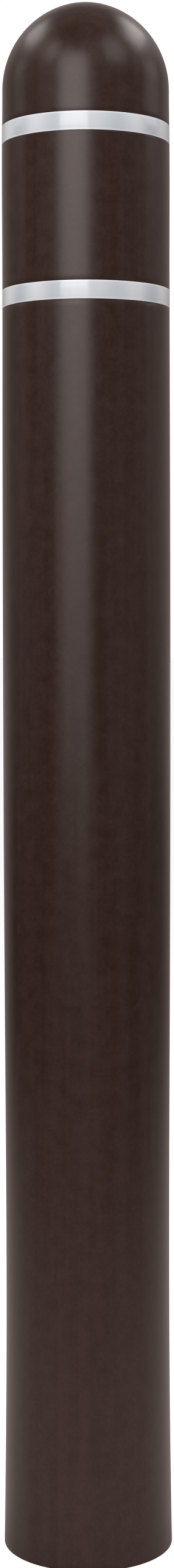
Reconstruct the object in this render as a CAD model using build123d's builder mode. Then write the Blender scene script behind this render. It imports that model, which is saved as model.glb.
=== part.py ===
from build123d import *
from math import atan2, degrees, sqrt
import os

# Bollard cover sleeve: one hollow polyethylene moulding that slips over a steel post,
# with two bands of reflective tape let into the outside and three foam fit hoops inside.
# Millimetres, +Z up, origin at the centre of the open mouth, where the sleeve rests.

# The post, and what stands between it and the outside of the body
post_radius = 168.3 / 2
foam_thickness = 3.175
wall = 3.175

# Overall size
overall_height = 1666.5
body_radius = post_radius + foam_thickness + wall

# The mouth flares out, and the body narrows to a waist above it
mouth_radius = body_radius + 2.1
mouth_slope = -0.0150
flare_middle_radius = body_radius - 0.2
flare_middle_height = 167.0
waist_radius = body_radius - 1.0
waist_height = 375.0
rim_edge_radius = 0.7

# The body then swells to full size, and narrows again towards the shoulder
swell_radius = body_radius - 0.2
swell_height = 670.0
widest_height = 950.0
taper_radius = body_radius - 0.6
taper_height = 1230.0

# The shoulder carries the upper tape band, between the end of the taper and the dome
taper_end_radius = body_radius - 1.1
taper_end_height = 1420.0
shoulder_radius = body_radius - 1.3
shoulder_height = 1520.0

# The dome: a side arc that starts upright at the spring line, then a tighter crown arc
spring_radius = body_radius - 1.9
side_arc_radius = 91.0
crown_radius = 81.8
side_centre_x = spring_radius - side_arc_radius
centre_rise = sqrt((side_arc_radius - crown_radius) ** 2 - side_centre_x**2)
crown_centre_height = overall_height - crown_radius
spring_height = crown_centre_height - centre_rise
arcs_meet_angle = degrees(atan2(centre_rise, -side_centre_x))

# Reflective tape, and the shallow recess that each band lies in and stands a little out of
tape_width = 19.05
tape_thickness = 0.45
recess_depth = 0.3
recess_margin = 0.8
recess_width = tape_width + 2 * recess_margin
upper_band_height = 1528.0
lower_band_height = 1356.3
tape_end_gap = 0.8

# Foam strip
foam_width = 25.4
bottom_hoop_height = 40.0
middle_hoop_height = widest_height
top_hoop_height = 1470.0
foam_end_gap = 1.5

os.makedirs("parts", exist_ok=True)


def dome_and_body(inset):
    """Draw the sleeve's side and dome, moved inward by the inset, from mouth to axis."""
    Spline(
        (mouth_radius - inset, 0),
        (flare_middle_radius - inset, flare_middle_height),
        (waist_radius - inset, waist_height),
        (swell_radius - inset, swell_height),
        (body_radius - inset, widest_height),
        (taper_radius - inset, taper_height),
        (taper_end_radius - inset, taper_end_height),
        (shoulder_radius - inset, shoulder_height),
        (spring_radius - inset, spring_height),
        tangents=((mouth_slope, 1), (0, 1)),
    )
    CenterArc((side_centre_x, spring_height), side_arc_radius - inset, 0, arcs_meet_angle)
    CenterArc(
        (0, crown_centre_height),
        crown_radius - inset,
        arcs_meet_angle,
        90 - arcs_meet_angle,
    )


def filled_form(inset):
    """Return the solid that the inset outline bounds, closed across the mouth."""
    with BuildPart() as form:
        with BuildSketch(Plane.XZ):
            with BuildLine():
                dome_and_body(inset)
                Polyline((0, overall_height - inset), (0, 0), (mouth_radius - inset, 0))
            make_face()
        revolve(axis=Axis.Z)
    return form.part


def ring_between(skin, core, middle_height, height):
    """Return the ring between core and skin that is this high, about a middle height."""
    with BuildPart() as ring:
        with Locations((0, 0, middle_height)):
            Cylinder(mouth_radius + wall, height)
        add(skin, mode=Mode.INTERSECT)
        add(core, mode=Mode.SUBTRACT)
    return ring.part


def wrapped_strip(skin, core, middle_height, width, end_gap):
    """Return a strip wrapped once round the core, its ends meeting at the back."""
    with BuildPart() as strip:
        add(ring_between(skin, core, middle_height, width))
        with Locations((0, body_radius, middle_height)):
            Box(end_gap, body_radius, 2 * width, mode=Mode.SUBTRACT)
    return strip.part


outer_form = filled_form(0)
recess_form = filled_form(recess_depth)
tape_form = filled_form(recess_depth - tape_thickness)
cavity_form = filled_form(wall)
post_form = Cylinder(post_radius, 2 * overall_height)

# The moulding: outer form less its cavity and the two tape recesses, its cut rim eased
with BuildPart() as sleeve:
    add(outer_form)
    add(cavity_form, mode=Mode.SUBTRACT)
    rim_edges = sleeve.edges().filter_by(GeomType.CIRCLE).group_by(Axis.Z)[0]
    fillet(rim_edges, radius=rim_edge_radius)
    for band_height in (upper_band_height, lower_band_height):
        recess = ring_between(outer_form, recess_form, band_height, recess_width)
        add(recess, mode=Mode.SUBTRACT)
sleeve.part.label = "sleeve"
export_step(sleeve.part, "parts/sleeve.step")

# Two tape bands, wrapped in their recesses
band_heights = {
    "upper_reflective_band": upper_band_height,
    "lower_reflective_band": lower_band_height,
}
for name, band_height in band_heights.items():
    band = wrapped_strip(tape_form, recess_form, band_height, tape_width, tape_end_gap)
    band.label = name
    export_step(band, f"parts/{name}.step")

# Three foam hoops, stuck to the inside wall at the thickness they have on the post
hoop_heights = {
    "bottom_foam_hoop": bottom_hoop_height,
    "middle_foam_hoop": middle_hoop_height,
    "top_foam_hoop": top_hoop_height,
}
for name, hoop_height in hoop_heights.items():
    hoop = wrapped_strip(cavity_form, post_form, hoop_height, foam_width, foam_end_gap)
    hoop.label = name
    export_step(hoop, f"parts/{name}.step")
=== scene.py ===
from math import atan2, cos, pi, radians, sin, sqrt

import bpy
import numpy as np
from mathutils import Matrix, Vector, noise


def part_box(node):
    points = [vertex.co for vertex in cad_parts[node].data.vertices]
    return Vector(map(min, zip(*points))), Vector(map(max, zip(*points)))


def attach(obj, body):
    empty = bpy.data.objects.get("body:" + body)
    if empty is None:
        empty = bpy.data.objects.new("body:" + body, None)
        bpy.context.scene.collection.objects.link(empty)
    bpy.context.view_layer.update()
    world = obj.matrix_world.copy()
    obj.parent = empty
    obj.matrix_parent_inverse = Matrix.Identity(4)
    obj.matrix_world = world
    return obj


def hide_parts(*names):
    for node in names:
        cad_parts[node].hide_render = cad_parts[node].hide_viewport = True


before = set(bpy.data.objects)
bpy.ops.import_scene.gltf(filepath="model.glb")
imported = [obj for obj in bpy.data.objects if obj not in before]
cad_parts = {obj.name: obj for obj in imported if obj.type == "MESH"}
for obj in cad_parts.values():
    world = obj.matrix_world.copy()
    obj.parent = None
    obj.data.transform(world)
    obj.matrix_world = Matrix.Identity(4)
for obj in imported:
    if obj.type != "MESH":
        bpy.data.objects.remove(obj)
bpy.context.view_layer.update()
base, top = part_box("sleeve")

# The photograph is taken from just over a metre up, 2.6 m in front of the sleeve, with the
# camera tipped down by 4 degrees and turned a touch clockwise.
camera_distance = 2.600
camera_height = 1.0175
camera_side_step = 0.0001
camera_tip = radians(3.947)
camera_turn = radians(-0.11)
photo_height = 2576
focal_pixels = 3951
sensor_size = 36.0

camera_data = bpy.data.cameras.new("camera")
camera_data.sensor_width = sensor_size
camera_data.lens = focal_pixels / photo_height * sensor_size
camera = bpy.data.objects.new("camera", camera_data)
camera.location = (camera_side_step, -camera_distance, camera_height)
camera.rotation_euler = (pi / 2 - camera_tip, 0, 0)
camera.rotation_euler.rotate_axis("Z", camera_turn)
bpy.context.scene.collection.objects.link(camera)
bpy.context.scene.camera = camera


# The sleeve is one hollow polyethylene moulding, dyed brown right through. The wall is an
# eighth of an inch thick, the dome is closed, the mouth is trimmed square and eased, and two
# shallow recesses run round the outside for the tape.
wall = 0.003175
overall_height = top.z - base.z
mouth_radius = (top.x - base.x) / 2
post_radius = 0.1683 / 2
body_radius = post_radius + 2 * wall
spring_radius = body_radius - 0.0019
side_arc_radius = 0.0910
crown_radius = 0.0818
rim_ease = 0.0007

side_centre = spring_radius - side_arc_radius
centre_rise = sqrt((side_arc_radius - crown_radius) ** 2 - side_centre**2)
crown_height = overall_height - crown_radius
spring_height = crown_height - centre_rise
arcs_meet = atan2(centre_rise, -side_centre)

# Heights up the body, and how far the outside stands in from the widest radius at each
outline_heights = (0, 0.167, 0.375, 0.670, 0.950, 1.230, 1.420, 1.520, spring_height)
outline_insets = (
    body_radius - mouth_radius, 0.0002, 0.0010, 0.0002, 0, 0.0006, 0.0011, 0.0013, 0.0019
)
mouth_slope = -0.0150

# The tape recesses, each a little wider than its band, with their lips eased
recess_depth = 0.0003
recess_margin = 0.0008
recess_ease = 0.00015
lip_drop = 0.3 * recess_ease
band_names = ("upper_reflective_band", "lower_reflective_band")
recesses = []
for name in band_names:
    low, high = (corner.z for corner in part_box(name))
    recesses.append((low - recess_margin, high + recess_margin))

# The wall isn't perfectly true: it wanders in by up to an eighth of a millimetre, apart from
# the crown of the dome and the lowest centimetre, which stay as they are.
wave_size = 0.075
wave_stretch = 0.35
wave_depth = 0.00006
wave_begins_out = 0.02
wave_begins_up = 0.01

# Rings of points on the body and on the crown, and segments round the axis. The inside has
# fewer rings, which keeps the whole moulding under 200,000 triangles.
outside_rings = (240, 14)
inside_rings = (90, 10)
rim_steps = 4
segments_round = 224
full_turn = 2 * pi
on_axis = 1e-6
sharp_angle = radians(40)


def outline_slopes(heights, radii, first, last):
    """Slopes at the heights that make one smooth curve through all the radii."""
    gaps = np.diff(heights)
    rises = np.diff(radii) / gaps
    count = len(heights)
    rows = np.eye(count)
    right = np.zeros(count)
    right[0] = first
    right[-1] = last
    for i in range(1, count - 1):
        rows[i, i - 1] = gaps[i]
        rows[i, i] = 2 * (gaps[i - 1] + gaps[i])
        rows[i, i + 1] = gaps[i - 1]
        right[i] = 3 * (gaps[i] * rises[i - 1] + gaps[i - 1] * rises[i])
    return np.linalg.solve(rows, right)


outline_radii = body_radius - np.array(outline_insets)
slopes = outline_slopes(np.array(outline_heights), outline_radii, mouth_slope, 0)


def body_radius_at(height):
    """The outside radius of the body at a height below the dome."""
    i = int(np.searchsorted(outline_heights, height, "right")) - 1
    i = min(max(i, 0), len(outline_heights) - 2)
    gap = outline_heights[i + 1] - outline_heights[i]
    t = (height - outline_heights[i]) / gap
    start = (1 + 2 * t) * (1 - t) ** 2 * outline_radii[i] + t * (1 - t) ** 2 * gap * slopes[i]
    end = t * t * (3 - 2 * t) * outline_radii[i + 1] + t * t * (t - 1) * gap * slopes[i + 1]
    return start + end


def moulding_side(inset, rings_on_body, rings_on_crown):
    """Points (radius, height) from the crown down to the mouth, moved in by the inset."""
    rings_on_side = 2 * rings_on_crown
    points = []
    for i in range(rings_on_crown):
        angle = pi / 2 + (arcs_meet - pi / 2) * i / rings_on_crown
        radius = (crown_radius - inset) * cos(angle)
        points.append((radius, crown_height + (crown_radius - inset) * sin(angle)))
    for i in range(rings_on_side):
        angle = arcs_meet * (1 - i / rings_on_side)
        radius = side_centre + (side_arc_radius - inset) * cos(angle)
        points.append((radius, spring_height + (side_arc_radius - inset) * sin(angle)))
    for i in range(rings_on_body + 1):
        height = spring_height + (rim_ease - spring_height) * i / rings_on_body
        points.append((body_radius_at(height) - inset, height))
    return points


def cut_recess(points, low, high):
    """Set a stretch of the outline in by the recess depth, with its two lips eased."""
    above = [point for point in points if point[1] > high + recess_ease]
    inside = [point for point in points if low < point[1] < high]
    below = [point for point in points if point[1] < low - recess_ease]
    top_radius = body_radius_at(high)
    bottom_radius = body_radius_at(low)
    upper_lip = [
        (top_radius, high + recess_ease),
        (top_radius - lip_drop, high + lip_drop),
        (top_radius - recess_ease, high),
        (top_radius - recess_depth, high),
    ]
    lower_lip = [
        (bottom_radius - recess_depth, low),
        (bottom_radius - recess_ease, low),
        (bottom_radius - lip_drop, low - lip_drop),
        (bottom_radius, low - recess_ease),
    ]
    floor = [(radius - recess_depth, height) for radius, height in inside]
    return above + upper_lip + floor + lower_lip + below


def rim_corner(side):
    """The eased corner of the cut rim, from the wall (side 1 is outside) to the bottom."""
    edge = body_radius_at(0) - (0 if side > 0 else wall)
    points = []
    for i in range(1, rim_steps + 1):
        angle = pi / 2 * i / rim_steps
        radius = edge - side * rim_ease * (1 - cos(angle))
        points.append((radius, rim_ease * (1 - sin(angle))))
    return points


def turned_mesh(name, outline, segments, start=0.0, sweep=full_turn, closed_outline=False):
    """A mesh that carries an outline of (radius, height) points round the Z axis."""
    whole = sweep == full_turn
    stations = segments if whole else segments + 1
    vertices = []
    rows = []
    for radius, height in outline:
        if radius < on_axis:
            rows.append([len(vertices)] * stations)
            vertices.append((0, 0, height))
            continue
        row = []
        for k in range(stations):
            angle = start + sweep * k / segments
            row.append(len(vertices))
            vertices.append((radius * cos(angle), radius * sin(angle), height))
        rows.append(row)
    faces = []
    pairs = list(zip(rows, rows[1:]))
    if closed_outline:
        pairs.append((rows[-1], rows[0]))
    for upper, lower in pairs:
        for k in range(segments):
            after = (k + 1) % stations
            corners = [upper[k], lower[k], lower[after], upper[after]]
            faces.append(list(dict.fromkeys(corners)))
    if not whole:
        faces.append([row[0] for row in rows])
        faces.append([row[-1] for row in reversed(rows)])
    mesh = bpy.data.meshes.new(name)
    mesh.from_pydata(vertices, [], faces)
    mesh.validate()
    mesh.polygons.foreach_set("use_smooth", [True] * len(mesh.polygons))
    mesh.set_sharp_from_angle(angle=sharp_angle)
    mesh.update()
    piece = bpy.data.objects.new(name, mesh)
    bpy.context.scene.collection.objects.link(piece)
    return piece


def follow_wave(piece):
    """Move a piece's points in with the wander of the wall."""
    for vertex in piece.data.vertices:
        radial = Vector((vertex.co.x, vertex.co.y, 0))
        if radial.length < wave_begins_out or vertex.co.z < wave_begins_up:
            continue
        place = Vector((vertex.co.x, vertex.co.y, vertex.co.z * wave_stretch)) / wave_size
        vertex.co += radial.normalized() * (noise.noise(place) - 1) * wave_depth


def make_moulding():
    """The whole moulding as one closed skin, outside and in."""
    outside = moulding_side(0, *outside_rings)
    for low, high in recesses:
        outside = cut_recess(outside, low, high)
    inside = moulding_side(wall, *inside_rings)
    outline = outside + rim_corner(1) + rim_corner(-1)[::-1] + inside[::-1]
    piece = turned_mesh("sleeve_moulding", outline, segments_round)
    follow_wave(piece)
    return piece


class Socket:
    """An output of a finish's nodes. Arithmetic on it adds the Math nodes that it needs."""

    def __init__(self, finish, output):
        self.finish = finish
        self.output = output

    def maths(self, operation, first, second):
        return self.finish.node("ShaderNodeMath", {"operation": operation}, {0: first, 1: second})

    def __add__(self, other):
        return self.maths("ADD", self, other)

    def __radd__(self, other):
        return self.maths("ADD", other, self)

    def __sub__(self, other):
        return self.maths("SUBTRACT", self, other)

    def __rsub__(self, other):
        return self.maths("SUBTRACT", other, self)

    def __mul__(self, other):
        return self.maths("MULTIPLY", self, other)

    def __rmul__(self, other):
        return self.maths("MULTIPLY", other, self)


class Finish:
    """The shader nodes of a material, or of the studio round the sleeve."""

    # The Mix node goes by number for its two colours and for the colour that it gives
    first_colour, second_colour, mixed_colour = 6, 7, 2

    def __init__(self, owner, shader="Principled BSDF"):
        owner.use_nodes = True
        self.tree = owner.node_tree
        self.shader = self.tree.nodes[shader]

    def node(self, kind, settings, inputs, output=0):
        """Add a node: its settings first, then the values or links of its sockets."""
        node = self.tree.nodes.new(kind)
        for name, setting in settings.items():
            setattr(node, name, setting)
        for name, value in inputs.items():
            self.feed(node.inputs[name], value)
        return Socket(self, node.outputs[output])

    def feed(self, socket, value):
        """Link a socket to a node's output, or give it a plain value."""
        if isinstance(value, Socket):
            self.tree.links.new(value.output, socket)
        else:
            socket.default_value = value

    def set(self, **values):
        """Feed the main shader's sockets, each named with _ for a space."""
        for name, value in values.items():
            self.feed(self.shader.inputs[name.replace("_", " ")], value)

    def along(self, vector, axis):
        """One part of a vector: X, Y or Z."""
        return self.node("ShaderNodeSeparateXYZ", {}, {0: vector}, axis)

    def speckle(self, place, scale, detail):
        """Soft noise from 0 to 1, with about this many spots to the metre."""
        sockets = {"Vector": place, "Scale": scale, "Detail": detail}
        return self.node("ShaderNodeTexNoise", {}, sockets)

    def ramp(self, value, low, high, start=0.0, end=1.0, form="LINEAR"):
        """A value carried from start to end as it goes from low to high, and held beyond."""
        sockets = {"From Min": low, "From Max": high, "To Min": start, "To Max": end}
        settings = {"interpolation_type": form}
        return self.node("ShaderNodeMapRange", settings, {"Value": value, **sockets})

    def mixed(self, factor, first, second):
        """The first colour where the factor is 0, and the second where it is 1."""
        sockets = {"Factor": factor, self.first_colour: first, self.second_colour: second}
        return self.node("ShaderNodeMix", {"data_type": "RGBA"}, sockets, self.mixed_colour)

    def bump(self, height, distance, strength):
        """A normal that stands off the surface by up to the distance, as the height says."""
        sockets = {"Strength": strength, "Distance": distance, "Height": height}
        return self.node("ShaderNodeBump", {}, sockets)


def srgb(red, green, blue):
    """A colour as the shader takes it, from the 0 to 255 numbers seen on a screen."""
    linear = [((c / 255 + 0.055) / 1.055) ** 2.4 for c in (red, green, blue)]
    return (*linear, 1)


def polyethylene_finish():
    """Satin brown polyethylene: pigment drift, draw streaks and a faint orange peel."""
    deep_brown = srgb(54, 35, 27)
    light_brown = srgb(66, 48, 42)
    streak_squash = (1, 1, 0.02)
    streak_share, drift_share, grain_share = 0.38, 0.32, 0.3
    tone_range = (0.39, 0.61)
    noise_middle = 0.5
    satin, streaks_in_satin, drift_in_satin = 0.31, 0.09, 0.06
    gloss_tint = (1.0, 0.91, 0.91, 1)

    material = bpy.data.materials.new("brown_polyethylene")
    finish = Finish(material)
    place = finish.node("ShaderNodeTexCoord", {}, {}, "Object")
    stretched = finish.node(
        "ShaderNodeVectorMath", {"operation": "MULTIPLY"}, {0: place, 1: streak_squash}
    )
    streaks = finish.speckle(stretched, scale=75, detail=3)
    drift = finish.speckle(place, scale=70, detail=3)
    grain = finish.speckle(place, scale=300, detail=2)
    peel = finish.speckle(place, scale=260, detail=1)
    tone = streaks * streak_share + drift * drift_share + grain * grain_share
    roughness = satin + (streaks - noise_middle) * streaks_in_satin
    finish.set(
        Base_Color=finish.mixed(finish.ramp(tone, *tone_range), deep_brown, light_brown),
        Roughness=roughness + (drift - noise_middle) * drift_in_satin,
        Normal=finish.bump(peel, distance=0.0002, strength=0.15),
        Specular_Tint=gloss_tint,
    )
    return material


moulding = make_moulding()
moulding.data.materials.append(polyethylene_finish())
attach(moulding, "root")
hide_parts("sleeve")


# Each band is one turn of three-quarter inch retroreflective tape: silver prism film with
# a clear face, stuck into its recess, with its two cut ends meeting at the back.
tape_thickness = 0.00045
tape_edge = 0.0001
tape_gap = 0.0008
adhesive_sink = 0.00002

# The film's seal begins and is full this far from the middle of the band. Painted reflection
# columns and painted light towards the sides run upright round the film: each goes this many times
# round, by this much.
seal_begins = 0.0072
seal_full = 0.0086
painted_light_columns = ((11, 0.24), (14, -0.16))


def tape_finish():
    """Silver prism film under a clear face, whiter along its sealed edges, with painted reflection
    columns and painted light towards the sides.
    """
    silver = srgb(205, 212, 221)
    white = srgb(251, 252, 255)
    prisms_to_the_metre = 700
    prism_unevenness = 0.2
    prism_wall = 0.12
    between_prisms = 0.7
    film_tone, cell_tone, cloud_tone, seal_tone = 0.27, 0.2, 0.2, 0.45
    film_roughness, cloud_roughness = 0.12, 0.08

    material = bpy.data.materials.new("reflective_tape")
    finish = Finish(material)
    place = finish.node("ShaderNodeTexCoord", {}, {}, "Object")
    offsets = []
    for low, high in recesses:
        offset = finish.along(place, "Z") - (low + high) / 2
        offsets.append(finish.node("ShaderNodeMath", {"operation": "ABSOLUTE"}, {0: offset}))
    from_middle = finish.node(
        "ShaderNodeMath", {"operation": "MINIMUM"}, {0: offsets[0], 1: offsets[1]}
    )
    seal = finish.ramp(from_middle, seal_begins, seal_full)
    prisms = finish.node(
        "ShaderNodeTexVoronoi",
        {"feature": "DISTANCE_TO_EDGE"},
        {"Vector": place, "Scale": prisms_to_the_metre, "Randomness": prism_unevenness},
    )
    cells = finish.ramp(prisms, 0.0, prism_wall, between_prisms)
    cloud = finish.speckle(place, scale=40, detail=3)
    tone = film_tone + cell_tone * cells + cloud_tone * cloud + seal_tone * seal

    # The angle round the band is 0 straight in front, where each cosine of painted reflection and
    # light is at its peak
    to_front = 0 - finish.along(place, "Y")
    angle = finish.node(
        "ShaderNodeMath", {"operation": "ARCTAN2"}, {0: finish.along(place, "X"), 1: to_front}
    )
    # Painted reflection columns and painted light, added to the film's tone by the angle round the
    # band
    for swells, strength in painted_light_columns:
        wave = finish.node("ShaderNodeMath", {"operation": "COSINE"}, {0: swells * angle})
        tone = tone + strength * wave
    finish.set(
        Base_Color=finish.mixed(tone, silver, white),
        Roughness=film_roughness + cloud_roughness * cloud,
        Normal=finish.bump(cells, distance=0.0001, strength=0.25),
        Coat_Weight=0.6,
        Coat_Roughness=0.03,
    )
    return material


def strip_outline(low, high, inner, outer, edge, steps=3):
    """A strip's section as (radius, height) points, its outer corners rounded by edge."""
    points = [(inner(low), low), (inner(high), high)]
    for i in range(steps + 1):
        angle = pi / 2 * i / steps
        height = high - edge * (1 - cos(angle))
        points.append((outer(height) - edge * (1 - sin(angle)), height))
    for i in range(steps, -1, -1):
        angle = pi / 2 * i / steps
        height = low + edge * (1 - cos(angle))
        points.append((outer(height) - edge * (1 - sin(angle)), height))
    return points


def recess_radius_at(height):
    """The radius of the bottom of a tape recess at a height."""
    return body_radius_at(height) - recess_depth


def wrapped_strip(name, section, segments, end_gap, radius):
    """A strip wrapped once round the axis, its two ends meeting at the back."""
    half_gap = end_gap / 2 / radius
    start = pi / 2 + half_gap
    return turned_mesh(name, section, segments, start, full_turn - 2 * half_gap, True)


tape = tape_finish()
for node in band_names:
    low, high = (corner.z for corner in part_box(node))
    section = strip_outline(
        low,
        high,
        lambda height: recess_radius_at(height) - adhesive_sink,
        lambda height: recess_radius_at(height) + tape_thickness,
        tape_edge,
    )
    band = wrapped_strip(node + "_film", section, segments_round, tape_gap, body_radius)
    follow_wave(band)
    band.data.materials.append(tape)
    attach(band, "root")
    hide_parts(node)


# Three hoops of black closed-cell foam strip are stuck round the inside wall, and take up
# the slack between the moulding and the post. Their cut ends meet at the back.
foam_gap = 0.0015
foam_edge = 0.0008
foam_sink = 0.00015
foam_segments = 160


def foam_finish():
    """Black closed-cell foam: a skin of fine open pits with a dusty bloom between them."""
    black = srgb(22, 22, 24)
    dusty = srgb(62, 62, 64)
    pits_to_the_metre = 900
    bloom_share, pit_share = 0.7, 0.3
    foam_roughness, pit_roughness = 0.85, 0.1

    material = bpy.data.materials.new("closed_cell_foam")
    finish = Finish(material)
    place = finish.node("ShaderNodeTexCoord", {}, {}, "Object")
    pits = finish.node("ShaderNodeTexVoronoi", {}, {"Vector": place, "Scale": pits_to_the_metre})
    bloom = finish.speckle(place, scale=60, detail=4)
    finish.set(
        Base_Color=finish.mixed(bloom_share * bloom + pit_share * pits, black, dusty),
        Roughness=foam_roughness + pit_roughness * pits,
        Normal=finish.bump(pits, distance=0.0004, strength=0.7),
    )
    return material


foam = foam_finish()
for node in ("bottom_foam_hoop", "middle_foam_hoop", "top_foam_hoop"):
    low, high = (corner.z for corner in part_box(node))
    section = strip_outline(
        low,
        high,
        lambda height: -(body_radius_at(height) - wall + foam_sink),
        lambda height: -post_radius,
        foam_edge,
    )
    section = [(-radius, height) for radius, height in section][::-1]
    hoop = wrapped_strip(node + "_strip", section, foam_segments, foam_gap, post_radius)
    hoop.data.materials.append(foam)
    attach(hoop, "root")
    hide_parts(node)


# The floor is plain and pale. It looks white to the camera, with the sleeve's shadow on it.
# Other rays see a painted pool of light on it round the sleeve, paler behind, then dark floor that
# runs out to the room; in gloss the floor past the pool glows with the backdrop, and far out with
# the room.
floor_reach = 60.0
floor_glow = 0.62
floor_seen = 0.80
# The painted pool of light on the floor: its level, its rise behind, its middle, and where it
# fades out
painted_pool_level = 0.66
painted_pool_rise_behind = 0.05
pool_middle = (0.1, 0.7, 0)
pool_fades = (1.0, 3.4)
room_begins = (8.0, 18.0)

# The room as gloss sees it: dark in front, paler at the sides and behind, with a backdrop
# straight behind. The levels are those in the middle, and the leans are how far they change
# towards the right. The far floor shows only a part of each lean.
front_in_gloss = 0.05
room_in_gloss = 0.145
room_lean = 0.045
backdrop_in_gloss = 0.34
backdrop_lean = -0.12
lean_over_floor = 0.35
room_tint = (1.15, 1.0, 0.95)

# Where each of them begins and is full, as the part of a direction that points right or back
lean_fades = (-0.5, 0.5)
room_fades = (-0.35, 0.1)
backdrop_fades = (0.5, 0.95)


def smooth_step(finish, value, low, high, start=0.0, end=1.0):
    """A value eased from start to end as it goes from low to high."""
    return finish.ramp(value, low, high, start, end, "SMOOTHSTEP")


def room_and_backdrop(finish, way, lean_share=1.0):
    """The room and its backdrop as gloss sees them, in the direction of way."""
    behind = finish.along(way, "Y")
    lean = smooth_step(finish, finish.along(way, "X"), *lean_fades, -lean_share, lean_share)
    room = (room_in_gloss + room_lean * lean) * smooth_step(finish, behind, *room_fades)
    backdrop_level = backdrop_in_gloss + backdrop_lean * lean
    return front_in_gloss + room, backdrop_level * smooth_step(finish, behind, *backdrop_fades)


def tinted(finish, level):
    """The warm tint of the room, at a level."""
    return finish.node(
        "ShaderNodeVectorMath", {"operation": "SCALE"}, {0: room_tint, "Scale": level}
    )


corners = [
    (x * floor_reach, y * floor_reach, 0) for x, y in ((-1, -1), (1, -1), (1, 1), (-1, 1))
]
floor_mesh = bpy.data.meshes.new("floor")
floor_mesh.from_pydata(corners, [], [(0, 1, 2, 3)])
floor = bpy.data.objects.new("floor", floor_mesh)
bpy.context.scene.collection.objects.link(floor)
floor_material = bpy.data.materials.new("pale_floor")
pale = Finish(floor_material)
seen = pale.node("ShaderNodeLightPath", {}, {}, "Is Camera Ray")
mirrored = pale.node("ShaderNodeLightPath", {}, {}, "Is Glossy Ray")
spot = pale.node("ShaderNodeTexCoord", {}, {}, "Object")
reach = pale.node("ShaderNodeVectorMath", {"operation": "LENGTH"}, {0: spot}, "Value")
outward = pale.node("ShaderNodeVectorMath", {"operation": "NORMALIZE"}, {0: spot})
across_pool = pale.node(
    "ShaderNodeVectorMath", {"operation": "DISTANCE"}, {0: spot, 1: pool_middle}, "Value"
)
off_pool = smooth_step(pale, across_pool, *pool_fades)
# Painted pool of light: the floor's colour is paler near the sleeve and behind it, and dark
# further out, where the studio light falls off
painted_light_pool = (painted_pool_level + painted_pool_rise_behind * pale.along(outward, "Y")) * (1 - off_pool)
room, backdrop = room_and_backdrop(pale, outward, lean_over_floor)
beyond = (room * smooth_step(pale, reach, *room_begins) + backdrop * off_pool) * mirrored
pale.set(
    Base_Color=pale.mixed(seen, tinted(pale, painted_light_pool), (floor_seen, floor_seen, floor_seen, 1)),
    Roughness=0.9,
    Specular_IOR_Level=0.0,
    Emission_Color=pale.mixed(seen, tinted(pale, beyond), (floor_glow, floor_glow, floor_glow, 1)),
    Emission_Strength=1.0,
)
floor.data.materials.append(floor_material)


# The studio's walls. The camera sees white all round. Gloss sees the dim, warm room that stands
# round the sleeve, up to its dark ceiling, with a band of spill below the ceiling. The rest of
# the light is even.
room_light = 0.40
dark_ceiling = 0.60
spill_in_gloss = 0.20
backdrop_far_off = 0.5

# How far up each begins and is full, as the part of a direction that points up
ceiling_fades = (0.85, 0.45)
spill_rises = (0.33, 0.50)
spill_falls = (0.62, 0.80)

world = bpy.data.worlds.new("studio")
bpy.context.scene.world = world
world.cycles.sampling_method = "NONE"
studio = Finish(world, "Background")
camera_ray = studio.node("ShaderNodeLightPath", {}, {}, "Is Camera Ray")
gloss_ray = studio.node("ShaderNodeLightPath", {}, {}, "Is Glossy Ray")
glass_ray = studio.node("ShaderNodeLightPath", {}, {}, "Is Transmission Ray")
way = studio.node("ShaderNodeTexCoord", {}, {}, "Generated")
upward = studio.along(way, "Z")
room, backdrop = room_and_backdrop(studio, way)
below_ceiling = smooth_step(studio, upward, *ceiling_fades, dark_ceiling, 1.0)
spill = smooth_step(studio, upward, *spill_rises) - smooth_step(studio, upward, *spill_falls)
in_gloss = (room + backdrop_far_off * backdrop) * below_ceiling + spill_in_gloss * spill
mirrored = gloss_ray + glass_ray
strength = camera_ray + mirrored * in_gloss + (1 - camera_ray - mirrored) * room_light
studio.set(Color=studio.mixed(mirrored, (1, 1, 1, 1), (*room_tint, 1)), Strength=strength)


# The lamps are soft rectangular panels that face the sleeve. The key is a tall bank of them,
# each with its azimuth and width, the heights of its foot and top, and its level.
key_distance = 2.2
key_panels = {
    "key_head": (-17, 1.60, 2.50, 3.35, 2.6),
    "key_upper": (-16, 1.50, 1.75, 2.50, 3.3),
    "key_middle": (-15, 1.50, 1.25, 1.75, 2.1),
    "key_foot": (-15, 1.50, 0.72, 1.25, 1.2),
}

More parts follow.
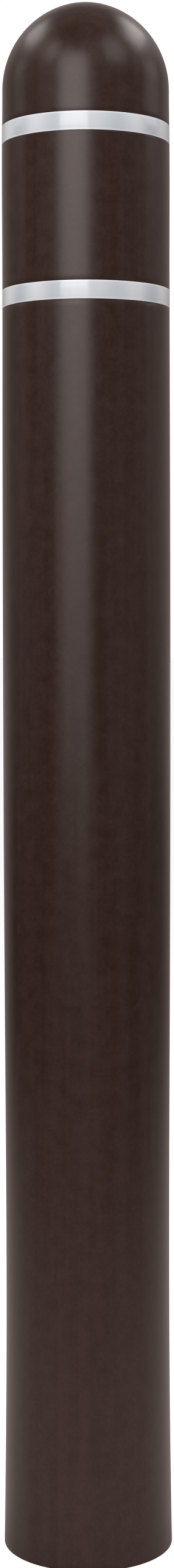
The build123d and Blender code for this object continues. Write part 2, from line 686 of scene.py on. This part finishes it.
# Overhead, four lamps light the dome, two dim panels its sides, and a dim card its crown. Each
# has its azimuth, distance, height, size and level, and faces the foot of the dome.
dome_height = 1.6
overhead_panels = {
    "left_hair_light": (-117, 1.6, 3.31, (1.25, 0.66), 3.2),
    "right_hair_light": (118, 1.6, 3.34, (1.60, 0.72), 3.8),
    "left_fill": (-55, 1.6, 2.94, (0.47, 0.70), 2.6),
    "right_fill": (46, 1.6, 3.04, (0.90, 1.15), 1.55),
    "left_side_panel": (-104, 2.0, 2.25, (0.6, 0.5), 0.75),
    "right_side_panel": (102, 2.0, 2.25, (0.8, 0.5), 1.0),
    "crown_card": (180, 1.0, 3.75, (1.4, 0.6), 0.08),
}

# Dim cards on stands give the gloss something to show, and two lamps that are kept out of the
# gloss fill the sides, where the front lamps only graze. These all face straight inwards.
cards = {
    "left_high_card": (-100, 2.0, 2.10, (0.45, 1.1), 0.08),
    "right_high_card": (101, 2.0, 1.75, (0.70, 1.8), 0.07),
    "left_low_card": (-80, 2.2, 1.00, (1.6, 0.75), 0.06),
    "right_low_card": (52, 2.2, 1.00, (1.7, 0.75), 0.24),
    "right_back_card": (120, 2.0, 0.75, (0.85, 1.3), 0.06),
}
side_fills = {
    "left_side_fill": (-125, 2.0, 1.5, (1.0, 1.0), 1.4),
    "right_side_fill": (125, 2.0, 1.5, (1.0, 1.0), 0.8),
}


def softbox(name, azimuth, distance, height, size, level, aim_height):
    """A soft light at an azimuth round the sleeve, from the camera's side towards +X."""
    data = bpy.data.lights.new(name, "AREA")
    data.shape = "RECTANGLE"
    data.size, data.size_y = size
    data.energy = level * pi * size[0] * size[1]
    light = bpy.data.objects.new(name, data)
    angle = radians(azimuth)
    light.location = (distance * sin(angle), -distance * cos(angle), height)
    aim = Vector((0, 0, aim_height)) - light.location
    light.rotation_euler = aim.to_track_quat("-Z", "Y").to_euler()
    light.visible_camera = False
    bpy.context.scene.collection.objects.link(light)
    return light


for name, (azimuth, width, low, high, level) in key_panels.items():
    middle = (low + high) / 2
    softbox(name, azimuth, key_distance, middle, (width, high - low), level, middle)
for name, panel in overhead_panels.items():
    softbox(name, *panel, dome_height)
for name, (azimuth, distance, height, size, level) in cards.items():
    softbox(name, azimuth, distance, height, size, level, height)
for name, (azimuth, distance, height, size, level) in side_fills.items():
    lamp = softbox(name, azimuth, distance, height, size, level, height)
    lamp.visible_glossy = False

bpy.context.scene.view_settings.view_transform = "Standard"
